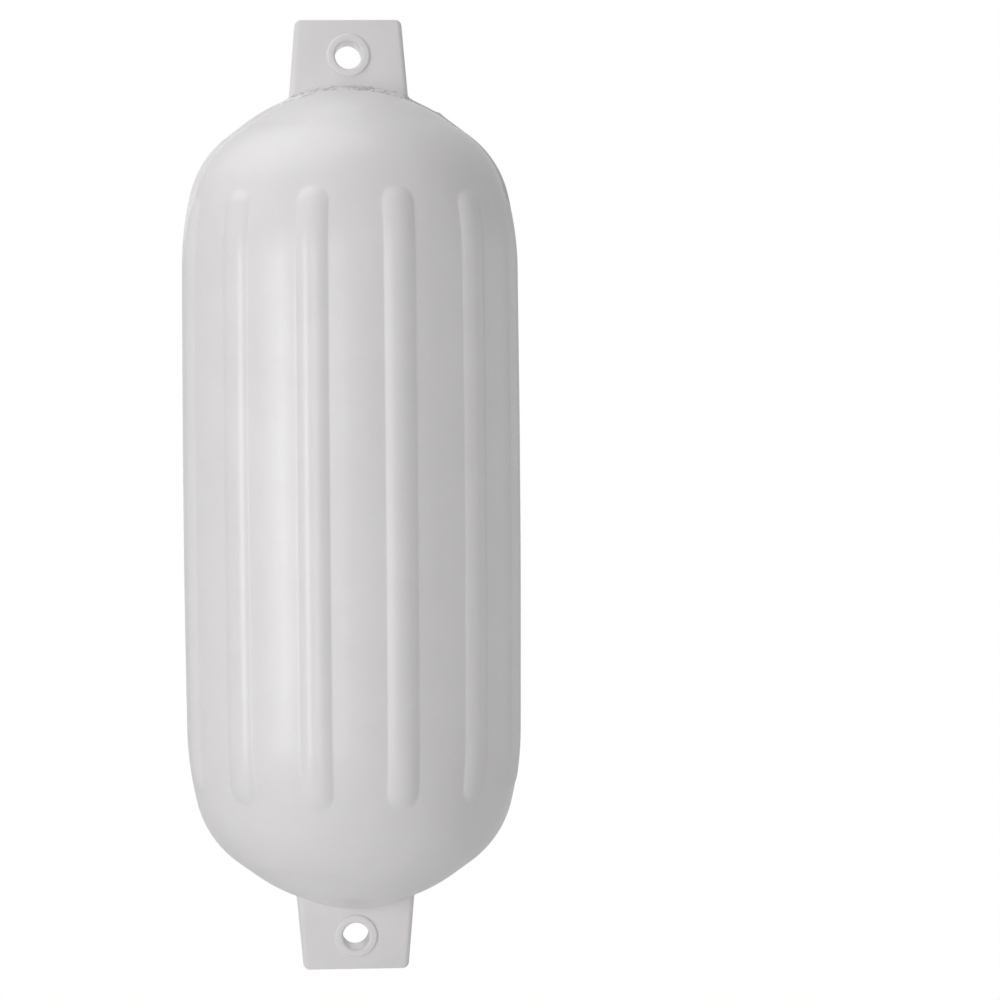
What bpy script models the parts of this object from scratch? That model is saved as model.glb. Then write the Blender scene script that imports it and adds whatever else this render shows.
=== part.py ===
"""Ribbed inflatable boat fender: one moulded vinyl skin with an eye tab at each end,
closed by a screw in the valve at the back of its upper shoulder.

Metres, +Z up. The origin is the middle of the upper eye, which the fender hangs from.
The eye tabs lie in the XZ plane, and the valve looks to +Y and up.
"""

import bpy
import bmesh
from math import asin, copysign, cos, hypot, pi, radians, sin, sqrt, tan
from mathutils import Matrix

# Inflated body: a slightly barrelled side, a flank, a shoulder, a short cone and a crown
BODY_LENGTH = 0.655
BODY_RADIUS = 0.1346
SIDE_TAPER = 0.63
FLANK_RADIUS = 0.265
FLANK_ANGLE = 76.0
SHOULDER_RADIUS = 0.080
CONE_ANGLE = 37.0
CONE_RUN = 0.0146
SKIN_THICKNESS = 0.0035

# The lower crown is drawn out further than the upper one, within this distance of the axis
CROWN_DROP = 0.0034
CROWN_DROP_REACH = 0.055

# Raised half-round ribs that run down the front and the back, clear of the mould's parting plane
RIBS_PER_FACE = 6
RIB_PITCH = 28.3
RIB_WIDTH = 0.0245
RIB_HEIGHT = 0.003
RIB_LENGTH = 0.468

# Solid eye tab at each end, the lower one trimmed a little shorter
TAB_HEIGHT = 0.0535
LOWER_TAB_TRIM = 0.0012
TAB_TIP_WIDTH = 0.0855
TAB_BASE_WIDTH = 0.0945
TAB_THICKNESS = 0.022
TAB_CORNER_RADIUS = 0.005
TAB_EDGE_RADIUS = 0.0045
TAB_TIP_ROUND = 0.0009
TAB_FLARE_RADIUS = 0.006

# Eye: a round hole with a rolled mouth inside a raised ring on both faces of the tab
EYE_INSET = 0.0285
EYE_HOLE_RADIUS = 0.0107
EYE_MOUTH_ROUND = 0.002
EYE_RING_RADIUS = 0.0171
EYE_RING_HEIGHT = 0.002
EYE_RING_ROUND = 0.0015

# Valve screw: round head, threaded shank and a blind hole up the shank
HEAD_RADIUS = 0.008
HEAD_LENGTH = 0.0106
HEAD_EDGE_ROUND = 0.0012
SHANK_RADIUS = 0.0053
SHANK_LENGTH = 0.020
SHANK_CHAMFER = 0.0007
TIP_HOLE_RADIUS = 0.002
TIP_HOLE_DEPTH = 0.022
SLOT_WIDTH = 0.0016
SLOT_DEPTH = 0.0025

# Valve seat: a boss moulded inside the skin, with a low rim outside
HEAD_RECESS = 0.001
SEAT_GAP = 0.0003
SIDE_GAP = 0.0004
BOSS_WALL = 0.0035
BOSS_RUN_OUT = 0.002
RIM_HEIGHT = 0.0015
RIM_ROUND = 0.001

# Smoothness of the round forms
BODY_SEGMENTS = 48
BODY_STEP = radians(8)
CAVITY_SEGMENTS = 36
CAVITY_STEP = radians(13)
RIB_SEGMENTS = 28
EYE_SEGMENTS = 24
SCREW_SEGMENTS = 28
CUT_MARGIN = 0.010
MOUTH_ANGLE = radians(12)
SHARP_ANGLE = radians(35)


def arc(centre, radius, start, end, steps):
    """Points of an arc as (distance from the axis, height), angles taken from the axis."""
    angles = [start + (end - start) * step / steps for step in range(steps + 1)]
    return [(centre[0] + radius * sin(angle), centre[1] + radius * cos(angle)) for angle in angles]


def on_arc(centre, radius, angle):
    return arc(centre, radius, angle, angle, 1)[0]


def body_arcs():
    """The upper half of the body's outline as tangent arcs (centre, radius, start, end).

    The crown takes what the shoulder, the flank and the cone leave of the body's radius.
    """
    cone = radians(CONE_ANGLE)
    flank = radians(FLANK_ANGLE)
    side = radians(90 - SIDE_TAPER)
    shoulder_run = SHOULDER_RADIUS * (sin(flank) - sin(cone))
    flank_run = FLANK_RADIUS * (sin(side) - sin(flank))
    crown_radius = (BODY_RADIUS - shoulder_run - flank_run - CONE_RUN) / sin(cone)

    crown_centre = (0.0, BODY_LENGTH / 2 - crown_radius)
    cone_start = on_arc(crown_centre, crown_radius, cone)
    cone_end = (cone_start[0] + CONE_RUN, cone_start[1] - CONE_RUN * tan(cone))
    shoulder_centre = on_arc(cone_end, -SHOULDER_RADIUS, cone)
    flank_start = on_arc(shoulder_centre, SHOULDER_RADIUS, flank)
    flank_centre = on_arc(flank_start, -FLANK_RADIUS, flank)
    side_start = on_arc(flank_centre, FLANK_RADIUS, side)
    side_radius = side_start[1] / cos(side)
    side_centre = (side_start[0] - side_radius * sin(side), 0.0)
    return {
        "crown": (crown_centre, crown_radius, 0.0, cone),
        "shoulder": (shoulder_centre, SHOULDER_RADIUS, cone, flank),
        "flank": (flank_centre, FLANK_RADIUS, flank, side),
        "side": (side_centre, side_radius, side, pi / 2),
    }


def crown_drop_at(distance):
    """How much lower the lower crown is than a mirrored upper one at a distance from the axis."""
    share = max(0.0, 1 - (distance / CROWN_DROP_REACH) ** 2)
    return CROWN_DROP * share**2


def body_outline(inset, step_angle):
    """Outline from pole to pole, moved in from the outer surface by inset."""
    upper = []
    for name, (centre, radius, start, end) in body_arcs().items():
        steps = max(2, round((end - start) / step_angle))
        points = arc(centre, radius - inset, start, end, steps)
        upper += points if name in ("crown", "shoulder") else points[1:]
    lower = [(radius, -height - crown_drop_at(radius)) for radius, height in reversed(upper[:-1])]
    return upper + lower


def side_half_length():
    """Height above the middle at which the side meets the flank."""
    return on_arc(*body_arcs()["side"][:3])[1]


def body_radius_at(height):
    """Radius of the outer surface on the side or the flank at a height above the middle."""
    part = "side" if abs(height) <= side_half_length() else "flank"
    centre, radius = body_arcs()[part][:2]
    rise = min(abs(height) - centre[1], radius)
    return centre[0] + sqrt(radius**2 - rise**2)


def crown_height_at(distance):
    """Height of the outer crown at a distance from the axis."""
    centre, radius = body_arcs()["crown"][:2]
    return centre[1] + sqrt(radius**2 - distance**2)


def new_object(name, bm):
    bmesh.ops.recalc_face_normals(bm, faces=bm.faces)
    mesh = bpy.data.meshes.new(name)
    bm.to_mesh(mesh)
    bm.free()
    thing = bpy.data.objects.new(name, mesh)
    bpy.context.collection.objects.link(thing)
    return thing


def turned(name, outline, segments):
    """A solid of revolution about Z from an outline that starts and ends on the axis."""
    bm = bmesh.new()
    points = [bm.verts.new((radius, 0.0, height)) for radius, height in outline]
    edges = [bm.edges.new(pair) for pair in zip(points, points[1:])]
    bmesh.ops.spin(
        bm, geom=points + edges, cent=(0, 0, 0), axis=(0, 0, 1),
        angle=2 * pi, steps=segments, use_merge=True,
    )
    bmesh.ops.remove_doubles(bm, verts=bm.verts, dist=1e-6)
    return new_object(name, bm)


def combine(thing, operation, other):
    """Join another solid to this one, or cut it out, and drop the other."""
    modifier = thing.modifiers.new(operation.lower(), "BOOLEAN")
    modifier.operation = operation
    modifier.solver = "EXACT"
    modifier.object = other
    bpy.context.view_layer.update()
    evaluated = thing.evaluated_get(bpy.context.evaluated_depsgraph_get())
    mesh = bpy.data.meshes.new_from_object(evaluated)
    thing.modifiers.clear()
    thing.data = mesh
    bpy.data.objects.remove(other)


def finish(thing, material):
    thing.data.materials.clear()
    thing.data.materials.append(material)
    thing.data.shade_smooth()
    thing.data.set_sharp_from_angle(angle=SHARP_ANGLE)


def make_material(name, colour, roughness):
    material = bpy.data.materials.new(name)
    material.use_nodes = True
    shader = material.node_tree.nodes["Principled BSDF"]
    shader.inputs["Base Color"].default_value = (*colour, 1.0)
    shader.inputs["Roughness"].default_value = roughness
    shader.inputs["Metallic"].default_value = 0.0
    return material


def rib_angles():
    """Directions of the ribs about Z: an even row on the front and the same on the back."""
    first = -(RIBS_PER_FACE - 1) / 2
    row = [(first + number) * radians(RIB_PITCH) for number in range(RIBS_PER_FACE)]
    return [face + turn for face in (-pi / 2, pi / 2) for turn in row]


def make_ribs():
    """Half-round ribs: each a ball pulled out along the side, with only its back proud."""
    half_width = RIB_WIDTH / 2
    ball_radius = (half_width**2 + RIB_HEIGHT**2) / (2 * RIB_HEIGHT)
    half_run = RIB_LENGTH / 2 - half_width
    middle_radius = body_radius_at(0.0)

    bm = bmesh.new()
    bmesh.ops.create_uvsphere(
        bm, u_segments=RIB_SEGMENTS, v_segments=RIB_SEGMENTS // 2, radius=ball_radius,
    )
    equator = [edge for edge in bm.edges if all(abs(vert.co.z) < 1e-6 for vert in edge.verts)]
    bmesh.ops.split_edges(bm, edges=equator)
    for vert in bm.verts:
        upper = vert.link_faces[0].calc_center_median().z > 0
        vert.co.z += half_run if upper else -half_run
    rims = [edge for edge in bm.edges if edge.is_boundary]
    walls = bmesh.ops.bridge_loops(bm, edges=rims)["edges"]
    rings = bmesh.ops.subdivide_edges(bm, edges=walls, cuts=3)["geom_inner"]
    bend = side_half_length()
    for vert in [item for item in rings if isinstance(item, bmesh.types.BMVert)]:
        if abs(vert.co.z) > 1e-6 and bend < half_run:
            vert.co.z = copysign(bend, vert.co.z)
    for vert in bm.verts:
        depth = body_radius_at(vert.co.z) - middle_radius
        vert.co.x += middle_radius + RIB_HEIGHT - ball_radius + depth

    pattern = bm.verts[:]
    rib = pattern + bm.edges[:] + bm.faces[:]
    for angle in rib_angles():
        copy = bmesh.ops.duplicate(bm, geom=rib)["geom"]
        verts = [item for item in copy if isinstance(item, bmesh.types.BMVert)]
        bmesh.ops.rotate(bm, verts=verts, cent=(0, 0, 0), matrix=Matrix.Rotation(angle, 3, "Z"))
    bmesh.ops.delete(bm, geom=pattern, context="VERTS")
    return new_object("ribs", bm)


def tab_outline(tip):
    """Right-hand half of an upper tab's outline in the XZ plane, from its root to its tip."""
    flare_x = TAB_BASE_WIDTH / 2 + TAB_FLARE_RADIUS
    crown_centre, crown_radius = body_arcs()["crown"][:2]
    lean = asin(flare_x / crown_radius)
    foot_x = flare_x - TAB_FLARE_RADIUS * sin(lean)
    foot_z = crown_height_at(foot_x)
    flare_centre = (flare_x, foot_z + TAB_FLARE_RADIUS * cos(lean))
    root = foot_z - SKIN_THICKNESS - TAB_EDGE_RADIUS
    corner_x = TAB_TIP_WIDTH / 2 - TAB_CORNER_RADIUS

    points = [(0.0, root), (foot_x, root)]
    points += arc(flare_centre, -TAB_FLARE_RADIUS, lean, pi / 2, 3)
    points += reversed(arc((corner_x, tip - TAB_CORNER_RADIUS), TAB_CORNER_RADIUS, 0.0, pi / 2, 4))
    points.append((0.0, tip))
    return points


def tab_roll():
    """Radius of the rolled sides, which the corners of the tip still have room for."""
    return min(TAB_EDGE_RADIUS, TAB_CORNER_RADIUS)


def square_tip(bm, tip):
    """Bring the rolled edge of the tip out to a small round, as the roll is only on the sides."""
    corner_x = TAB_TIP_WIDTH / 2 - TAB_CORNER_RADIUS
    corner_z = tip - TAB_CORNER_RADIUS
    roll = tab_roll()
    flat_half = TAB_THICKNESS / 2 - roll
    for vert in bm.verts:
        up = vert.co.z - corner_z
        if up > 0:
            over = min(max(0.0, abs(vert.co.y) - flat_half), roll)
            drop = roll - sqrt(roll**2 - over**2)
            out = max(0.0, abs(vert.co.x) - corner_x)
            vert.co.z += drop * (1 - TAB_TIP_ROUND / roll) * up / hypot(up, out)


def make_tab(name, trim=0.0):
    """Upper eye tab with its eye: a tapered plate with rolled sides that flares into the crown.

    Its root reaches into the air space, which trims it.
    """
    tip = BODY_LENGTH / 2 + TAB_HEIGHT - trim
    right = tab_outline(tip)
    left = [(-x, z) for x, z in reversed(right[1:-1])]
    bm = bmesh.new()
    rim = [bm.verts.new((x, -TAB_THICKNESS / 2, z)) for x, z in right + left]
    front = bm.faces.new(rim)
    back = bmesh.ops.extrude_face_region(bm, geom=[front])["geom"]
    verts = [item for item in back if isinstance(item, bmesh.types.BMVert)]
    bmesh.ops.translate(bm, verts=verts, vec=(0, TAB_THICKNESS, 0))
    root = right[0][1]
    edges = [
        edge for edge in bm.edges
        if abs(edge.verts[0].co.y - edge.verts[1].co.y) < 1e-6
        and max(vert.co.z for vert in edge.verts) > root + 1e-6
    ]
    bmesh.ops.bevel(
        bm, geom=edges, offset=tab_roll(), segments=3, profile=0.5,
        affect="EDGES", material=-1, clamp_overlap=False,
    )
    square_tip(bm, tip)
    tab = new_object(name, bm)
    combine(tab, "UNION", make_eye_ring())
    combine(tab, "DIFFERENCE", make_eye_cutter())
    return tab


def eye_height():
    return BODY_LENGTH / 2 + TAB_HEIGHT - EYE_INSET


def across_tab(thing, facet_turn=0.0):
    """Lay a piece that was turned about Z across the tab, at the upper eye."""
    turn = Matrix.Rotation(pi / 2, 4, "X") @ Matrix.Rotation(facet_turn, 4, "Z")
    thing.data.transform(Matrix.Translation((0, 0, eye_height())) @ turn)
    return thing


def make_eye_ring():
    """Raised ring, made as a disc right through the tab that the hole then opens."""
    face = TAB_THICKNESS / 2 + EYE_RING_HEIGHT
    ring = [(0.0, face)]
    ring += arc((EYE_RING_RADIUS - EYE_RING_ROUND, face - EYE_RING_ROUND), EYE_RING_ROUND, 0.0, pi / 2, 3)
    ring += [(radius, -height) for radius, height in reversed(ring)]
    return across_tab(turned("eye_ring", ring, EYE_SEGMENTS), facet_turn=pi / 2 / EYE_SEGMENTS)


def make_eye_cutter():
    """Hole with a rolled mouth at both faces, its corners between those of the ring."""
    face = TAB_THICKNESS / 2 + EYE_RING_HEIGHT
    roll_centre = (EYE_HOLE_RADIUS + EYE_MOUTH_ROUND, face - EYE_MOUTH_ROUND)
    roll = arc(roll_centre, -EYE_MOUTH_ROUND, pi - MOUTH_ANGLE, pi / 2, 3)
    half = [(0.0, face + CUT_MARGIN), (roll[0][0], face + CUT_MARGIN)] + roll
    cutter = half + [(radius, -height) for radius, height in reversed(half)]
    return across_tab(turned("eye_cutter", cutter, EYE_SEGMENTS), facet_turn=pi / EYE_SEGMENTS)


def upside_down(thing):
    """Mirror a piece to the lower end of the fender."""
    thing.data.transform(Matrix.Scale(-1, 4, (0, 0, 1)))
    thing.data.flip_normals()
    return thing


def valve_frame():
    """Place of the valve: its mouth on the middle of the cone, at the back, its Z axis outwards."""
    cone = radians(CONE_ANGLE)
    shoulder_centre, shoulder_radius = body_arcs()["shoulder"][:2]
    low_end = on_arc(shoulder_centre, shoulder_radius, cone)
    distance = low_end[0] - CONE_RUN / 2
    height = low_end[1] + CONE_RUN / 2 * tan(cone)
    return Matrix.Translation((0, distance, height)) @ Matrix.Rotation(-cone, 4, "X")


def make_valve_boss():
    """Stepped boss inside the skin, round the head and then round the shank."""
    head_wall = HEAD_RADIUS + SIDE_GAP + BOSS_WALL
    shank_wall = SHANK_RADIUS + SIDE_GAP + BOSS_WALL
    step = RIM_HEIGHT - HEAD_RECESS - HEAD_LENGTH - SEAT_GAP - BOSS_WALL
    inner_end = RIM_HEIGHT - HEAD_RECESS - HEAD_LENGTH - SHANK_LENGTH - BOSS_RUN_OUT
    outline = [(0.0, RIM_HEIGHT)]
    outline += arc((head_wall - RIM_ROUND, RIM_HEIGHT - RIM_ROUND), RIM_ROUND, 0.0, pi / 2, 3)
    outline += [(head_wall, step), (shank_wall, step), (shank_wall, inner_end), (0.0, inner_end)]
    boss = turned("valve_boss", outline, SCREW_SEGMENTS)
    boss.data.transform(valve_frame())
    return boss


def make_valve_bore():
    """Stepped bore from the rim through to the air space, its corners between the boss's."""
    head_bore = HEAD_RADIUS + SIDE_GAP
    shank_bore = SHANK_RADIUS + SIDE_GAP
    floor = RIM_HEIGHT - HEAD_RECESS - HEAD_LENGTH - SEAT_GAP
    inner_end = floor + SEAT_GAP - SHANK_LENGTH - BOSS_RUN_OUT - CUT_MARGIN
    outline = [
        (0.0, RIM_HEIGHT + CUT_MARGIN), (head_bore, RIM_HEIGHT + CUT_MARGIN),
        (head_bore, floor), (shank_bore, floor), (shank_bore, inner_end), (0.0, inner_end),
    ]
    bore = turned("valve_bore", outline, SCREW_SEGMENTS)
    bore.data.transform(valve_frame() @ Matrix.Rotation(pi / SCREW_SEGMENTS, 4, "Z"))
    return bore


def make_fender_shell():
    """The moulded skin: body, ribs, tabs and valve boss in one piece, hollow inside."""
    shell = turned("fender_shell", body_outline(0.0, BODY_STEP), BODY_SEGMENTS)
    combine(shell, "UNION", make_ribs())
    combine(shell, "UNION", make_tab("upper_tab"))
    combine(shell, "UNION", upside_down(make_tab("lower_tab", LOWER_TAB_TRIM)))
    air_space = turned("air_space", body_outline(SKIN_THICKNESS, CAVITY_STEP), CAVITY_SEGMENTS)
    combine(shell, "DIFFERENCE", air_space)
    combine(shell, "UNION", make_valve_boss())
    combine(shell, "DIFFERENCE", make_valve_bore())
    finish(shell, make_material("white_vinyl", (0.76, 0.76, 0.75), 0.32))
    return shell


def make_valve_screw():
    """Valve screw: its Z axis runs out of the valve, with 0 at the valve's mouth."""
    top = RIM_HEIGHT - HEAD_RECESS
    shoulder = top - HEAD_LENGTH
    tip = shoulder - SHANK_LENGTH
    edge = HEAD_RADIUS - HEAD_EDGE_ROUND
    outline = [(0.0, tip + TIP_HOLE_DEPTH), (TIP_HOLE_RADIUS, tip + TIP_HOLE_DEPTH), (TIP_HOLE_RADIUS, tip)]
    outline += [(SHANK_RADIUS - SHANK_CHAMFER, tip), (SHANK_RADIUS, tip + SHANK_CHAMFER)]
    outline += [(SHANK_RADIUS, shoulder)]
    outline += reversed(arc((edge, shoulder + HEAD_EDGE_ROUND), HEAD_EDGE_ROUND, pi / 2, pi, 3))
    outline += reversed(arc((edge, top - HEAD_EDGE_ROUND), HEAD_EDGE_ROUND, 0.0, pi / 2, 3))
    outline += [(0.0, top)]
    screw = turned("valve_screw", outline, SCREW_SEGMENTS)

    bm = bmesh.new()
    bmesh.ops.create_cube(bm, size=1.0)
    slot_size = (2 * HEAD_RADIUS + CUT_MARGIN, SLOT_WIDTH, 2 * SLOT_DEPTH)
    bmesh.ops.scale(bm, vec=slot_size, verts=bm.verts)
    bmesh.ops.translate(bm, vec=(0, 0, top), verts=bm.verts)
    combine(screw, "DIFFERENCE", new_object("screw_slot", bm))
    finish(screw, make_material("blue_nylon", (0.0, 0.06, 0.55), 0.35))
    screw.matrix_world = valve_frame()
    return screw


def hang_from_eye(things):
    """Parent the pieces to an empty that puts the upper eye's middle at the origin."""
    frame = bpy.data.objects.new("fender_frame", None)
    bpy.context.collection.objects.link(frame)
    frame.location = (0, 0, -eye_height())
    for thing in things:
        thing.parent = frame


for old in list(bpy.data.objects):
    bpy.data.objects.remove(old)
hang_from_eye([make_fender_shell(), make_valve_screw()])
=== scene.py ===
from math import asin, atan2, copysign, cos, hypot, pi, radians, sin, sqrt, tan

import bmesh
import bpy
from mathutils import Matrix, Vector, noise


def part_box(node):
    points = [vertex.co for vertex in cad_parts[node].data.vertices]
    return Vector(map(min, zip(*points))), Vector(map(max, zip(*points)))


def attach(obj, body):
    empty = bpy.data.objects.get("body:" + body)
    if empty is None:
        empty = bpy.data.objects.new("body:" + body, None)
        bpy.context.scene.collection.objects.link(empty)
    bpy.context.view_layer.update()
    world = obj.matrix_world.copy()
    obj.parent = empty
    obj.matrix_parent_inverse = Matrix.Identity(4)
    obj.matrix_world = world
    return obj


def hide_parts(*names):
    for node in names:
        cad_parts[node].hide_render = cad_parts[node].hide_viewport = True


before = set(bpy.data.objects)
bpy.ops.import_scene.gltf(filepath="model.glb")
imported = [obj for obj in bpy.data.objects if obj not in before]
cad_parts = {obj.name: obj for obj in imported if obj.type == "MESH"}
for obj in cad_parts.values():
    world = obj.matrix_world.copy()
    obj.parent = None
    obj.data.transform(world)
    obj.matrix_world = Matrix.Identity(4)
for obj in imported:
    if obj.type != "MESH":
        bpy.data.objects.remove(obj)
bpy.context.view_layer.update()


# The inflated body: soft PVC, rotationally moulded in one piece with its tabs and blown up tight.
# The outline is a barrelled side, a flank, a shoulder, a short cone and a crown, all tangent, with
# the lower crown drawn out further. The skin is 3.5 mm thick. It hangs from the upper eye.
low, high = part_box("fender_shell")
pole_height = 0.3275
tab_height = 0.0535
tip_height = pole_height + tab_height
body_middle = high[2] - tip_height
side_end_radius = 0.1346
side_taper = radians(0.63)
flank_radius = 0.265
flank_angle = radians(76)
shoulder_radius = 0.080
cone_angle = radians(37)
cone_run = 0.0146
skin_thickness = 0.0035
crown_drop = 0.0034
crown_drop_reach = 0.055


def arc(centre, radius, start, end, steps):
    """Points of an arc as (distance from the axis, height), angles taken from the axis."""
    angles = [start + (end - start) * step / steps for step in range(steps + 1)]
    return [(centre[0] + radius * sin(angle), centre[1] + radius * cos(angle)) for angle in angles]


def on_arc(centre, radius, angle):
    return arc(centre, radius, angle, angle, 1)[0]


side_angle = pi / 2 - side_taper
shoulder_width = shoulder_radius * (sin(flank_angle) - sin(cone_angle))
flank_width = flank_radius * (sin(side_angle) - sin(flank_angle))
crown_radius = (side_end_radius - shoulder_width - flank_width - cone_run) / sin(cone_angle)
crown_centre = (0.0, pole_height - crown_radius)
cone_start = on_arc(crown_centre, crown_radius, cone_angle)
cone_end = (cone_start[0] + cone_run, cone_start[1] - cone_run * tan(cone_angle))
shoulder_centre = on_arc(cone_end, -shoulder_radius, cone_angle)
flank_start = on_arc(shoulder_centre, shoulder_radius, flank_angle)
flank_centre = on_arc(flank_start, -flank_radius, flank_angle)
side_start = on_arc(flank_centre, flank_radius, side_angle)
side_radius = side_start[1] / cos(side_angle)
side_centre = (side_start[0] - side_radius * sin(side_angle), 0.0)


def body_outline(inset, steps):
    """Outline from pole to pole, moved in from the surface; steps for each arc and the cone."""
    crown, cone, shoulder, flank, side = steps
    upper = arc(crown_centre, crown_radius - inset, 0.0, cone_angle, crown)
    lower_cone = on_arc(shoulder_centre, shoulder_radius - inset, cone_angle)
    upper += [tuple(Vector(upper[-1]).lerp(lower_cone, step / cone)) for step in range(1, cone)]
    upper += arc(shoulder_centre, shoulder_radius - inset, cone_angle, flank_angle, shoulder)
    upper += arc(flank_centre, flank_radius - inset, flank_angle, side_angle, flank)[1:]
    upper += arc(side_centre, side_radius - inset, side_angle, pi / 2, side)[1:]
    lower = []
    for radius, height in reversed(upper[:-1]):
        share = max(0.0, 1 - (radius / crown_drop_reach) ** 2)
        lower.append((radius, -height - crown_drop * share**2))
    return upper + lower


def turned(name, outline, segments):
    """A solid of revolution about Z from an outline that starts and ends on the axis."""
    bm = bmesh.new()
    points = [bm.verts.new((radius, 0.0, height)) for radius, height in outline]
    edges = [bm.edges.new(pair) for pair in zip(points, points[1:])]
    bmesh.ops.spin(
        bm, geom=points + edges, cent=(0, 0, 0), axis=(0, 0, 1),
        angle=2 * pi, steps=segments, use_merge=True,
    )
    bmesh.ops.remove_doubles(bm, verts=bm.verts, dist=1e-6)
    return finished(name, bm)


def finished(name, bm):
    bmesh.ops.recalc_face_normals(bm, faces=bm.faces)
    mesh = bpy.data.meshes.new(name)
    bm.to_mesh(mesh)
    bm.free()
    piece = bpy.data.objects.new(name, mesh)
    bpy.context.scene.collection.objects.link(piece)
    return piece


def combine(piece, operation, *others):
    """Weld other closed pieces into this one, or cut them out of it, and drop them."""
    for other in others:
        modifier = piece.modifiers.new(operation.lower(), "BOOLEAN")
        modifier.operation = operation
        modifier.solver = "MANIFOLD"
        modifier.object = other
        bpy.context.view_layer.update()
        evaluated = piece.evaluated_get(bpy.context.evaluated_depsgraph_get())
        mesh = bpy.data.meshes.new_from_object(evaluated)
        piece.modifiers.clear()
        piece.data = mesh
        bpy.data.objects.remove(other)


# The ribs: half-round welts moulded on the front and the back, with round ends and a crisp foot, and
# none near the mould's parting plane. A thin flange of vinyl was left along the parting line over
# the upper dome and round its tab's root, proud of the skin beside it, with a lump on the right.
ribs_per_face = 6
rib_pitch = radians(28.3)
rib_width = 0.0245
rib_height = 0.003
rib_length = 0.468
rib_fillet = 0.00025
rib_middle = 0.0036
rib_ball = ((rib_width / 2) ** 2 + rib_height**2) / (2 * rib_height)
rib_half_run = (rib_length - rib_width) / 2
first_rib = -rib_pitch * (ribs_per_face - 1) / 2
rib_row = [first_rib + rib_pitch * number for number in range(ribs_per_face)]
rib_angles = [face + turn for face in (-pi / 2, pi / 2) for turn in rib_row]
flange_depth = 0.0048
root_share = 0.9
flange_lift = 0.0007
flange_half_turn = radians(0.8)
flange_slope_turn = radians(1.2)
flange_fade = 0.055
root_half_width = 0.0135
root_slope = 0.006
root_run = (0.044, 0.058)
dome_run = 0.06
lump_place = Vector((0.0735, -0.003, 0.3065))
lump_height = 0.0014
lump_reach = 0.0055
slack_waves = ((0.00022, 14), (0.00006, 45))
skin_settle = 0.0003
rib_columns = [1.3 * step for step in range(-3, 4)] + [4.5, 4.9, 5.15, 5.4, 5.9, 7.0, 9.2, 11.6]
rib_columns = sorted(set(rib_columns) | {-column for column in rib_columns})
seam_columns = [0.4 * step for step in range(7)] + [3.2, 4.0, 5.2, 6.8, 8.6, 10.6, 12.8]
seam_columns = sorted(set(seam_columns) | {-column for column in seam_columns})
column_angles = [angle + radians(column) for angle in rib_angles for column in rib_columns]
column_angles += [angle + radians(column) for angle in (0, pi) for column in seam_columns]
column_angles = sorted(angle % (2 * pi) for angle in column_angles)


def rib_rise(angle, height, radius):
    """How far the nearest rib lifts the skin at a place."""
    turn = min(abs((angle - rib + pi) % (2 * pi) - pi) for rib in rib_angles)
    distance = hypot(turn * radius, max(0.0, abs(height - rib_middle) - rib_half_run))
    if distance > rib_width:
        return 0.0
    bare = sqrt(max(rib_ball**2 - distance**2, 0.0)) - rib_ball + rib_height
    return (bare + sqrt(bare**2 + rib_fillet**2)) / 2


def eased(share):
    """Smooth step from 0 to 1 as the share does so."""
    share = min(1.0, max(0.0, share))
    return share * share * (3 - 2 * share)


def off_tab(spot):
    """0 beside the tab's root, 1 well clear of it."""
    return eased((abs(spot.x) - root_run[0]) / (root_run[1] - root_run[0]))


def on_dome(spot):
    """0 on the side and below, 1 well up the upper dome."""
    return eased((spot.z - side_start[1]) / dome_run)


def flange_bed(spot):
    """How deep the upper dome is drawn in beside its flange, less so in front of the tab."""
    near = eased(1 - abs(spot.y) / flange_fade) * on_dome(spot)
    return flange_depth * near * (root_share + (1 - root_share) * off_tab(spot))


def flange_rise(spot):
    """How far flange and lump stand out of the upper dome, and how far the skin beside lies in."""
    half_width = root_half_width + (flange_half_turn * abs(spot.x) - root_half_width) * off_tab(spot)
    slope = root_slope + (flange_slope_turn * abs(spot.x) - root_slope) * off_tab(spot)
    foot = eased((abs(spot.y) - half_width) / slope)
    lump = max(0.0, 1 - (spot - lump_place).length_squared / lump_reach**2)
    lift = flange_lift * (1 - foot) * on_dome(spot)
    return lump_height * lump**2 + lift - flange_bed(spot) * foot


def dome_normal(spot):
    """Outward direction on the domes, and straight out on the side."""
    across = copysign(max(0.0, abs(spot.z) - crown_centre[1]), spot.z)
    return Vector((spot.x, spot.y, across)).normalized()


def slack(spot):
    """Slight unevenness of a blown-up skin, a fraction of a millimetre over a hand's breadth."""
    return sum(depth * noise.noise(spot * rate) for depth, rate in slack_waves)


skin = turned("fender_skin", body_outline(0.0, (22, 6, 24, 40, 8)), len(column_angles))
for vert in skin.data.vertices:
    spot = vert.co.copy()
    radius = hypot(spot.x, spot.y)
    if radius < 1e-5:
        continue
    column = round((atan2(spot.y, spot.x) % (2 * pi)) / (2 * pi) * len(column_angles))
    angle = column_angles[column % len(column_angles)]
    out = Vector((cos(angle), sin(angle), 0.0))
    spot = out * radius + Vector((0, 0, spot.z))
    rise = rib_rise(angle, spot.z, radius) + slack(spot) - skin_settle
    vert.co = spot + out * rise + dome_normal(spot) * flange_rise(spot)


# The eye tabs: solid vinyl plates in the parting plane, a little wider at the root, with rolled
# edges and small flares where they leave the crown. Each has a round eye for the line, with a
# rolled mouth inside a raised ring on both faces, all moulded in.
tab_tip_width = 0.0855
tab_base_width = 0.0945
tab_thickness = 0.022
tab_corner_radius = 0.005
tab_edge_radius = 0.0045
tab_tip_round = 0.0009
lower_tab_trim = 0.0012
tab_flare_radius = 0.006
eye_inset = 0.0285
eye_height = tip_height - eye_inset
eye_hole_radius = 0.0107
eye_mouth_round = 0.002
eye_ring_radius = 0.0171
eye_ring_height = 0.002
eye_ring_round = 0.0015
eye_face = tab_thickness / 2 + eye_ring_height
cut_margin = 0.010


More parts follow.
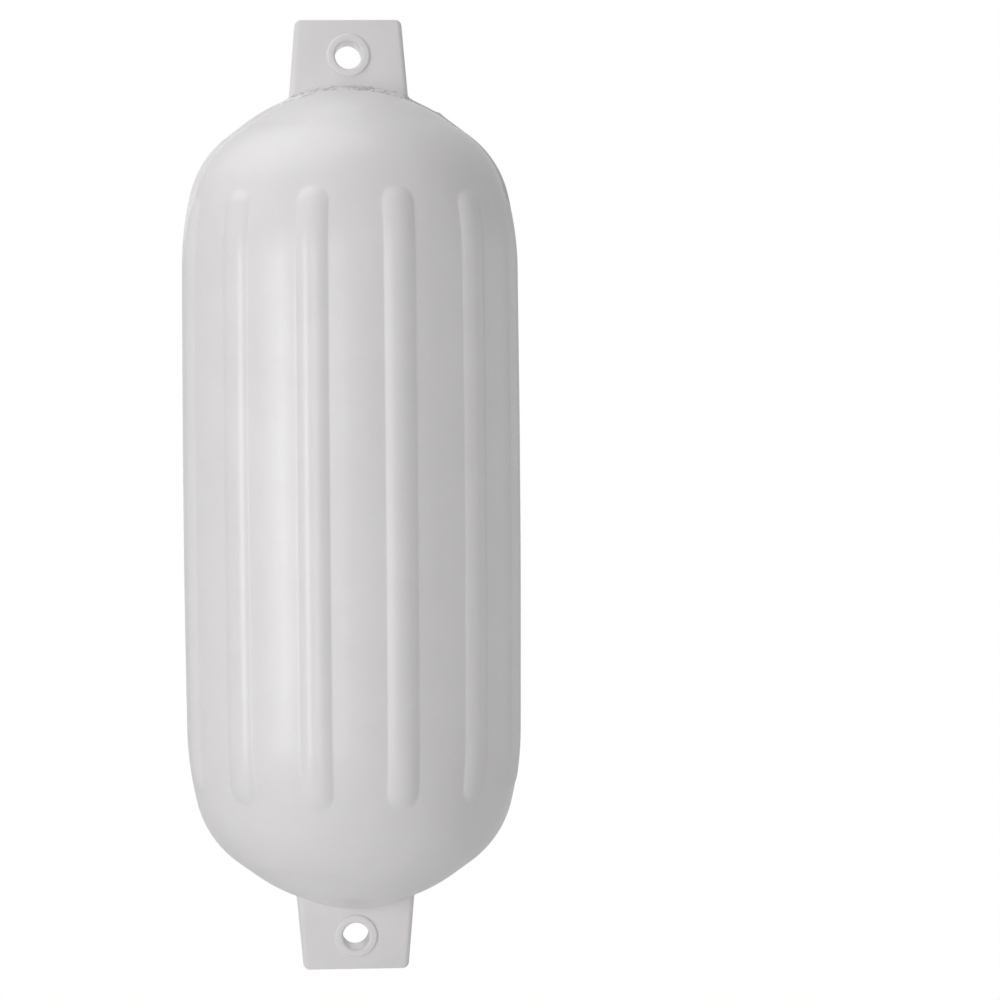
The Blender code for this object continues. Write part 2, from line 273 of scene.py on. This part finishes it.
def crown_height_at(distance):
    return crown_centre[1] + sqrt(crown_radius**2 - distance**2)


def tab(name, tip):
    """An upper tab: half its outline, mirrored, pulled to its thickness and rolled at the sides."""
    flare_x = tab_base_width / 2 + tab_flare_radius
    lean = asin(flare_x / crown_radius)
    foot_x = flare_x - tab_flare_radius * sin(lean)
    foot_z = crown_height_at(foot_x)
    root = foot_z - skin_thickness - tab_edge_radius
    corner = (tab_tip_width / 2 - tab_corner_radius, tip - tab_corner_radius)
    flare_centre = (flare_x, foot_z + tab_flare_radius * cos(lean))
    right = [(0.0, root), (foot_x, root)]
    right += arc(flare_centre, -tab_flare_radius, lean, pi / 2, 8)
    right += reversed(arc(corner, tab_corner_radius, 0.0, pi / 2, 10))
    right.append((0.0, tip))
    left = [(-x, z) for x, z in reversed(right[1:-1])]

    bm = bmesh.new()
    front = bm.faces.new([bm.verts.new((x, -tab_thickness / 2, z)) for x, z in right + left])
    back = bmesh.ops.extrude_face_region(bm, geom=[front])["geom"]
    verts = [item for item in back if isinstance(item, bmesh.types.BMVert)]
    bmesh.ops.translate(bm, verts=verts, vec=(0, tab_thickness, 0))
    rim = [
        edge for edge in bm.edges
        if abs(edge.verts[0].co.y - edge.verts[1].co.y) < 1e-6
        and max(vert.co.z for vert in edge.verts) > root + 1e-6
    ]
    bmesh.ops.bevel(
        bm, geom=rim, offset=tab_edge_radius, segments=8, profile=0.5,
        affect="EDGES", material=-1, clamp_overlap=False,
    )
    for vert in bm.verts:
        up = vert.co.z - corner[1]
        if up > 0:
            over = max(0.0, abs(vert.co.y) - tab_thickness / 2 + tab_edge_radius)
            drop = tab_edge_radius - sqrt(max(0.0, tab_edge_radius**2 - over**2))
            side = max(0.0, abs(vert.co.x) - corner[0])
            vert.co.z += drop * (1 - tab_tip_round / tab_edge_radius) * up / hypot(up, side)
    plate = finished(name, bm)
    combine(plate, "UNION", eye_ring())
    combine(plate, "DIFFERENCE", eye_cutter())
    return plate


def across_tab(piece, facet_turn=0.0):
    """Lay a piece that was turned about Z across the tab, at the upper eye."""
    turn = Matrix.Rotation(pi / 2, 4, "X") @ Matrix.Rotation(facet_turn, 4, "Z")
    piece.data.transform(Matrix.Translation((0, 0, eye_height)) @ turn)
    return piece


def eye_ring():
    ring = [(0.0, eye_face)]
    corner = (eye_ring_radius - eye_ring_round, eye_face - eye_ring_round)
    ring += arc(corner, eye_ring_round, 0.0, pi / 2, 6)
    ring += [(radius, -height) for radius, height in reversed(ring)]
    return across_tab(turned("eye_ring", ring, 96))


def eye_cutter():
    roll_centre = (eye_hole_radius + eye_mouth_round, eye_face - eye_mouth_round)
    roll = arc(roll_centre, -eye_mouth_round, pi - radians(6), pi / 2, 8)
    half = [(0.0, eye_face + cut_margin), (roll[0][0], eye_face + cut_margin)] + roll
    cutter = half + [(radius, -height) for radius, height in reversed(half)]
    return across_tab(turned("eye_cutter", cutter, 96), facet_turn=pi / 96)


def upside_down(piece):
    piece.data.transform(Matrix.Scale(-1, 4, (0, 0, 1)))
    piece.data.flip_normals()
    return piece


lower_tab = upside_down(tab("lower_tab", tip_height - lower_tab_trim))
combine(skin, "UNION", tab("upper_tab", tip_height), lower_tab)
air_space = turned("air_space", body_outline(skin_thickness, (6, 1, 6, 3, 2)), 72)
for vert in air_space.data.vertices:
    vert.co -= dome_normal(vert.co) * flange_bed(vert.co)
combine(skin, "DIFFERENCE", air_space)


# The valve seat: a boss moulded inside the skin at the back of the upper shoulder, with a low
# rim outside and a stepped bore that takes the screw.
head_radius = 0.008
head_length = 0.0106
shank_radius = 0.0053
shank_length = 0.020
head_recess = 0.001
seat_gap = 0.0003
side_gap = 0.0004
boss_wall = 0.0035
boss_run_out = 0.002
mouth_chamfer = 0.0007
rim_height = 0.0015
rim_round = 0.001
valve_distance = cone_end[0] - cone_run / 2
valve_height = cone_end[1] + cone_run / 2 * tan(cone_angle)
valve_place = Matrix.Translation((0, valve_distance, valve_height)) @ Matrix.Rotation(-cone_angle, 4, "X")
head_top = rim_height - head_recess
head_foot = head_top - head_length
shank_tip = head_foot - shank_length


def valve_boss():
    wide = head_radius + side_gap + boss_wall
    narrow = shank_radius + side_gap + boss_wall
    step = head_foot - seat_gap - boss_wall
    inner_end = shank_tip - boss_run_out
    outline = [(0.0, rim_height)]
    outline += arc((wide - rim_round, rim_height - rim_round), rim_round, 0.0, pi / 2, 6)
    outline += [(wide, step), (narrow, step), (narrow, inner_end), (0.0, inner_end)]
    boss = turned("valve_boss", outline, 72)
    boss.data.transform(valve_place)
    return boss


def valve_bore():
    wide = head_radius + side_gap
    narrow = shank_radius + side_gap
    floor = head_foot - seat_gap
    inner_end = shank_tip - boss_run_out - cut_margin
    outline = [(0.0, rim_height + cut_margin), (wide + mouth_chamfer, rim_height + cut_margin)]
    outline += [(wide + mouth_chamfer, rim_height), (wide, rim_height - mouth_chamfer)]
    outline += [(wide, floor), (narrow, floor), (narrow, inner_end), (0.0, inner_end)]
    bore = turned("valve_bore", outline, 72)
    bore.data.transform(valve_place @ Matrix.Rotation(pi / 72, 4, "Z"))
    return bore


combine(skin, "UNION", valve_boss())
combine(skin, "DIFFERENCE", valve_bore())


# White vinyl: plasticised PVC, satin from the mould, with a faint orange-peel grain and slight
# mottling between two near whites. It is soft, so a little light enters it.
def linear(code):
    """An sRGB hex colour as linear RGBA."""
    parts = [int(code[place:place + 2], 16) / 255 for place in (0, 2, 4)]
    parts = [part / 12.92 if part <= 0.04045 else ((part + 0.055) / 1.055) ** 2.4 for part in parts]
    return (*parts, 1.0)


def node(tree, kind, settings=None, **links):
    """Add a node, set its properties and sockets, and link what is given as a socket."""
    made = tree.nodes.new(kind)
    for name, value in (settings or {}).items():
        setattr(made, name, value)
    for name, value in links.items():
        socket = made.inputs[int(name[1:])] if name[0] == "i" and name[1:].isdigit() else None
        socket = socket or made.inputs[name.replace("_", " ")]
        if isinstance(value, bpy.types.NodeSocket):
            tree.links.new(value, socket)
        else:
            socket.default_value = value
    return made


def new_material(name):
    material = bpy.data.materials.new(name)
    material.use_nodes = True
    tree = material.node_tree
    return material, tree, tree.nodes["Principled BSDF"], node(tree, "ShaderNodeTexCoord")


vinyl, tree, shader, place = new_material("moulded_white_vinyl")
spot = place.outputs["Object"]
mottle = node(tree, "ShaderNodeTexNoise", Vector=spot, Scale=1 / 0.045, Detail=4.0, Roughness=0.6)
tone = node(tree, "ShaderNodeMix", {"data_type": "RGBA"}, Factor=mottle.outputs["Fac"])
tone.inputs["A"].default_value = linear("e4e2e3")
tone.inputs["B"].default_value = linear("eeecec")
gloss = node(tree, "ShaderNodeTexNoise", Vector=spot, Scale=1 / 0.012, Detail=3.0)
gloss_range = node(tree, "ShaderNodeMapRange", Value=gloss.outputs["Fac"], To_Min=0.26, To_Max=0.36)
peel = node(tree, "ShaderNodeTexNoise", Vector=spot, Scale=1 / 0.0014, Detail=2.0, Roughness=0.5)
grain = node(
    tree, "ShaderNodeBump", Height=peel.outputs["Fac"], Strength=0.12, Distance=0.0004,
)

# Flash at the upper tab's root: short slanting smears of vinyl along the joint of tab and crown, on
# both faces. The joint's height is that of the crown at each distance from the middle.
flash_drop = 0.0042
flash_half_height = (0.0040, 0.0070)
flash_half_run = (root_run[0], 0.053)
flash_forward = (0.026, 0.038)
flash_lean = radians(-30)
flash_size = (0.0058, 0.0058, 0.0014)
flash_depth = 0.0013
flat = node(tree, "ShaderNodeSeparateXYZ", Vector=spot)
bow = node(tree, "ShaderNodeMath", {"operation": "MULTIPLY"}, i0=flat.outputs["X"], i1=flat.outputs["X"])
sag = node(tree, "ShaderNodeMath", {"operation": "MULTIPLY"}, i0=bow.outputs[0], i1=0.5 / crown_radius)
from_middle = node(tree, "ShaderNodeMath", {"operation": "SUBTRACT"}, i0=flat.outputs["Z"], i1=body_middle)
raised = node(tree, "ShaderNodeMath", {"operation": "ADD"}, i0=from_middle.outputs[0], i1=sag.outputs[0])
joint = node(
    tree, "ShaderNodeMath", {"operation": "SUBTRACT"},
    i0=raised.outputs[0], i1=crown_height_at(tab_thickness / 2) - flash_drop,
)
nearness = node(tree, "ShaderNodeMath", {"operation": "ABSOLUTE"}, i0=joint.outputs[0])
band = node(
    tree, "ShaderNodeMapRange", Value=nearness.outputs[0],
    From_Min=flash_half_height[0], From_Max=flash_half_height[1], To_Min=1.0, To_Max=0.0,
)
on_tab = node(
    tree, "ShaderNodeMapRange", Value=bow.outputs[0],
    From_Min=flash_half_run[0] ** 2, From_Max=flash_half_run[1] ** 2, To_Min=1.0, To_Max=0.0,
)
forward = node(tree, "ShaderNodeMath", {"operation": "ABSOLUTE"}, i0=flat.outputs["Y"])
at_foot = node(
    tree, "ShaderNodeMapRange", Value=forward.outputs[0],
    From_Min=flash_forward[0], From_Max=flash_forward[1], To_Min=1.0, To_Max=0.0,
)
slant = node(
    tree, "ShaderNodeMapping", {"vector_type": "TEXTURE"},
    Vector=spot, Rotation=(0, flash_lean, 0), Scale=flash_size,
)
smear = node(tree, "ShaderNodeTexNoise", Vector=slant.outputs["Vector"], Scale=1.0, Detail=1.0)
flake = node(
    tree, "ShaderNodeMapRange", Value=smear.outputs["Fac"], From_Min=0.52, From_Max=0.66,
)
along = node(tree, "ShaderNodeMath", {"operation": "MULTIPLY"}, i0=band.outputs[0], i1=on_tab.outputs[0])
kept = node(tree, "ShaderNodeMath", {"operation": "MULTIPLY"}, i0=along.outputs[0], i1=at_foot.outputs[0])
flash = node(tree, "ShaderNodeMath", {"operation": "MULTIPLY"}, i0=flake.outputs[0], i1=kept.outputs[0])
grain = node(
    tree, "ShaderNodeBump", Height=flash.outputs[0], Strength=1.0, Distance=flash_depth,
    Normal=grain.outputs["Normal"],
)
tree.links.new(tone.outputs["Result"], shader.inputs["Base Color"])
tree.links.new(gloss_range.outputs["Result"], shader.inputs["Roughness"])
tree.links.new(grain.outputs["Normal"], shader.inputs["Normal"])
shader.inputs["IOR"].default_value = 1.53
shader.inputs["Subsurface Weight"].default_value = 0.06
shader.inputs["Subsurface Radius"].default_value = (1.0, 0.95, 0.95)
shader.inputs["Subsurface Scale"].default_value = 0.002


def dress(piece, material, sharp):
    """Give a finished piece its material and smooth shading, and set it down from the eye."""
    piece.data.materials.clear()
    piece.data.materials.append(material)
    piece.data.shade_smooth()
    piece.data.set_sharp_from_angle(angle=radians(sharp))
    piece.data.transform(Matrix.Translation((0, 0, body_middle)))


dress(skin, vinyl, 24)
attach(skin, "root")
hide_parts("fender_shell")


# The valve screw: blue nylon, injection moulded, with a rounded head, a driver slot, a coarse
# thread on its shank and a blind core hole up the middle from its tip.
head_round = 0.0012
thread_pitch = 0.00145
thread_depth = 0.0009
core_radius = shank_radius - thread_depth
core_hole_radius = 0.002
core_hole_depth = 0.022
slot_width = 0.0016
slot_depth = 0.0025
thread_rows = 10
shank_rows = round(shank_length / thread_pitch * thread_rows)

outline = [(0.0, shank_tip + core_hole_depth), (core_hole_radius, shank_tip + core_hole_depth)]
outline += [(core_hole_radius, shank_tip + shank_length * step / 4) for step in range(4, 0, -1)]
outline += [(core_hole_radius, shank_tip)]
outline += [(core_radius, shank_tip + shank_length * row / shank_rows) for row in range(shank_rows + 1)]
outline += reversed(arc((head_radius - head_round, head_foot + head_round), head_round, pi / 2, pi, 6))
outline += reversed(arc((head_radius - head_round, head_top - head_round), head_round, 0.0, pi / 2, 6))
outline += [(0.0, head_top)]
screw = turned("blue_valve_screw", outline, 64)
for vert in screw.data.vertices:
    radius = hypot(vert.co.x, vert.co.y)
    if abs(radius - core_radius) > 1e-6:
        continue
    turns = (vert.co.z - shank_tip) / thread_pitch - atan2(vert.co.y, vert.co.x) / (2 * pi)
    tooth = min(1.0, max(0.0, 1.3 - 2.6 * abs(turns % 1.0 - 0.5)))
    run_out = min(1.0, (vert.co.z - shank_tip) / thread_pitch, (head_foot - vert.co.z) / thread_pitch)
    vert.co.xy *= 1 + thread_depth * tooth * max(0.0, run_out) / core_radius

bm = bmesh.new()
bmesh.ops.create_cube(bm, size=1.0)
bmesh.ops.scale(bm, vec=(2 * head_radius + cut_margin, slot_width, 2 * slot_depth), verts=bm.verts)
bmesh.ops.translate(bm, vec=(0, 0, head_top), verts=bm.verts)
combine(screw, "DIFFERENCE", finished("screw_slot", bm))
screw.data.transform(valve_place)

nylon, tree, shader, place = new_material("moulded_blue_nylon")
spot = place.outputs["Object"]
streak = node(tree, "ShaderNodeTexNoise", Vector=spot, Scale=1 / 0.003, Detail=3.0)
blue = node(tree, "ShaderNodeMix", {"data_type": "RGBA"}, Factor=streak.outputs["Fac"])
blue.inputs["A"].default_value = linear("0a3fc4")
blue.inputs["B"].default_value = linear("1450dc")
satin = node(tree, "ShaderNodeMapRange", Value=streak.outputs["Fac"], To_Min=0.28, To_Max=0.42)
grit = node(tree, "ShaderNodeTexNoise", Vector=spot, Scale=1 / 0.0004, Detail=2.0)
frost = node(tree, "ShaderNodeBump", Height=grit.outputs["Fac"], Strength=0.15, Distance=0.0001)
tree.links.new(blue.outputs["Result"], shader.inputs["Base Color"])
tree.links.new(satin.outputs["Result"], shader.inputs["Roughness"])
tree.links.new(frost.outputs["Normal"], shader.inputs["Normal"])
shader.inputs["IOR"].default_value = 1.53
dress(screw, nylon, 30)
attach(screw, "root")
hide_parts("valve_screw")


# The setting: the fender hangs clear of a plain white floor, which lies wholly below the picture, in
# soft light that is stronger from the left. A tall narrow softbox draws the bright streak, and a weak
# one behind lights the back.
floor_drop = 0.66
floor_radius = 1.8
bm = bmesh.new()
bmesh.ops.create_circle(bm, cap_ends=True, cap_tris=False, segments=96, radius=floor_radius)
bmesh.ops.translate(bm, vec=(0, 0, low[2] - floor_drop), verts=bm.verts)
floor = finished("floor", bm)
paper, tree, shader, place = new_material("white_floor")
dust = node(tree, "ShaderNodeTexNoise", Vector=place.outputs["Object"], Scale=2.0)
pale = node(tree, "ShaderNodeMix", {"data_type": "RGBA"}, Factor=dust.outputs["Fac"])
pale.inputs["A"].default_value = linear("f4f4f4")
pale.inputs["B"].default_value = linear("fafafa")
tree.links.new(pale.outputs["Result"], shader.inputs["Base Color"])
shader.inputs["Roughness"].default_value = 0.9
floor.data.materials.append(paper)

world = bpy.data.worlds.new("studio")
bpy.context.scene.world = world
world.use_nodes = True
tree = world.node_tree
tree.nodes.clear()
path = node(tree, "ShaderNodeLightPath")
clear = node(
    tree, "ShaderNodeMath", {"operation": "MAXIMUM"},
    i0=path.outputs["Is Camera Ray"], i1=path.outputs["Is Transmission Ray"],
)
fill = node(tree, "ShaderNodeBackground", Color=linear("ffffff"), Strength=0.261)
mirrored = node(tree, "ShaderNodeBackground", Color=linear("ffffff"), Strength=0.659)
white = node(tree, "ShaderNodeBackground", Color=linear("ffffff"), Strength=1.0)
room = node(
    tree, "ShaderNodeMixShader",
    i0=path.outputs["Is Glossy Ray"], i1=fill.outputs[0], i2=mirrored.outputs[0],
)
chosen = node(
    tree, "ShaderNodeMixShader", i0=clear.outputs[0], i1=room.outputs[0], i2=white.outputs[0],
)
node(tree, "ShaderNodeOutputWorld", Surface=chosen.outputs[0])


def softbox(name, azimuth, elevation, size, power):
    """A rectangular lamp that faces the fender's middle; azimuth 0 is in front, positive right."""
    lamp = bpy.data.lights.new(name, "AREA")
    lamp.shape = "RECTANGLE"
    lamp.size, lamp.size_y = size
    lamp.energy = power
    holder = bpy.data.objects.new(name, lamp)
    bpy.context.scene.collection.objects.link(holder)
    turn, rise = radians(azimuth), radians(elevation)
    away = Vector((sin(turn) * cos(rise), -cos(turn) * cos(rise), sin(rise)))
    spot = Vector((0, 0, body_middle)) + away * lamp_distance
    holder.matrix_world = Matrix.Translation(spot) @ away.to_track_quat("Z", "Y").to_matrix().to_4x4()
    holder.visible_camera = False
    return holder


lamp_distance = 2.3
softbox("front_softbox", -15, 0, (1.0, 1.3), 10.0)
softbox("strip_softbox", -48, -1, (0.35, 1.2), 11.6)
softbox("high_left_softbox", -90, 64, (2.4, 2.4), 15.2)
softbox("high_front_softbox", -45, 68, (2.2, 2.2), 10.2)
softbox("right_softbox", 75, 0, (1.0, 1.2), 2.8)
softbox("rim_softbox", 110, 0, (1.0, 1.2), 2.1)
softbox("back_softbox", 180, 10, (1.2, 1.2), 4.0)


# The camera: a little above the fender's middle and to its left, as in the photograph, where the
# fender stands left of the middle of the picture and leans half a degree.
photo_width = 1000
axis_column = 351.8
middle_row = 498.1
metres_per_pixel = 0.0008047
camera_distance = 1.8
camera_rise = 0.06
camera_yaw = radians(2.0)
camera_roll = radians(0.51)
camera_data = bpy.data.cameras.new("camera")
camera = bpy.data.objects.new("camera", camera_data)
bpy.context.scene.collection.objects.link(camera)
bpy.context.scene.camera = camera
camera_data.sensor_width = 36.0
camera_data.lens = camera_data.sensor_width * camera_distance / (metres_per_pixel * photo_width)
camera_data.shift_x = 0.5 - axis_column / photo_width
camera_data.shift_y = middle_row / photo_width - 0.5
stand = Vector((-sin(camera_yaw), -cos(camera_yaw), camera_rise / camera_distance)) * camera_distance
tip_down = pi / 2 - atan2(camera_rise, camera_distance)
look = Matrix.Rotation(-camera_yaw, 4, "Z") @ Matrix.Rotation(tip_down, 4, "X")
look = look @ Matrix.Rotation(-camera_roll, 4, "Z")
camera.matrix_world = Matrix.Translation(stand + Vector((0, 0, body_middle))) @ look
bpy.context.scene.view_settings.view_transform = "Standard"
